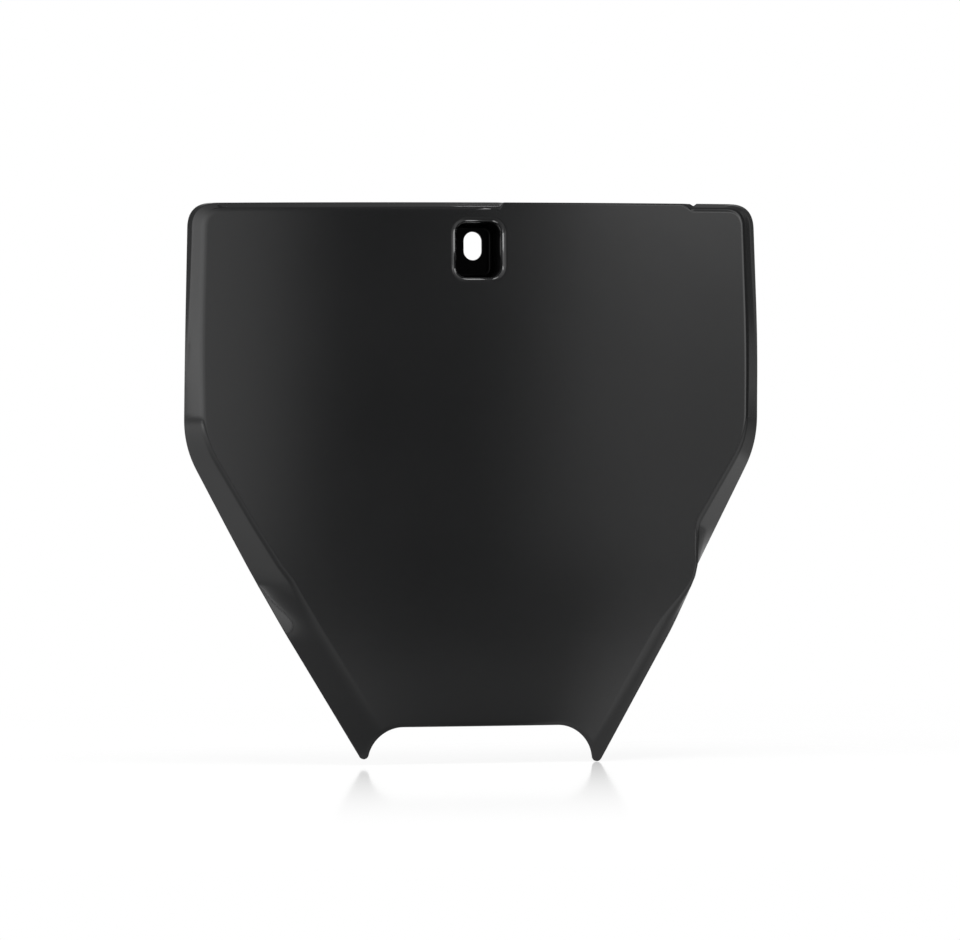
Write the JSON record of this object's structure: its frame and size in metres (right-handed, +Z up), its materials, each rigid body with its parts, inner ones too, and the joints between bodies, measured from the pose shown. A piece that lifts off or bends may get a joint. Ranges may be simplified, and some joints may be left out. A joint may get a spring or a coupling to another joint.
{
  "type": "racing number board",
  "caption": "Bowed front number board for an off-road motorcycle, with folded side flanges, a bolt pocket with a slot, a cable gap, a hose exit and two lower prongs.",
  "frame": {"origin": "centre of the bolt slot, at the back of the pocket's floor, where the board sits against its bracket", "axes": "+X to the viewer's right across the board, +Y from the face to the back, +Z up"},
  "size_m": [0.2498, 0.0243, 0.239],
  "materials": {
    "gloss_black": "gloss as moulded, in one colour"
  },
  "bodies": {
    "root": {"number_board": "gloss_black"}
  },
  "joints": []
}
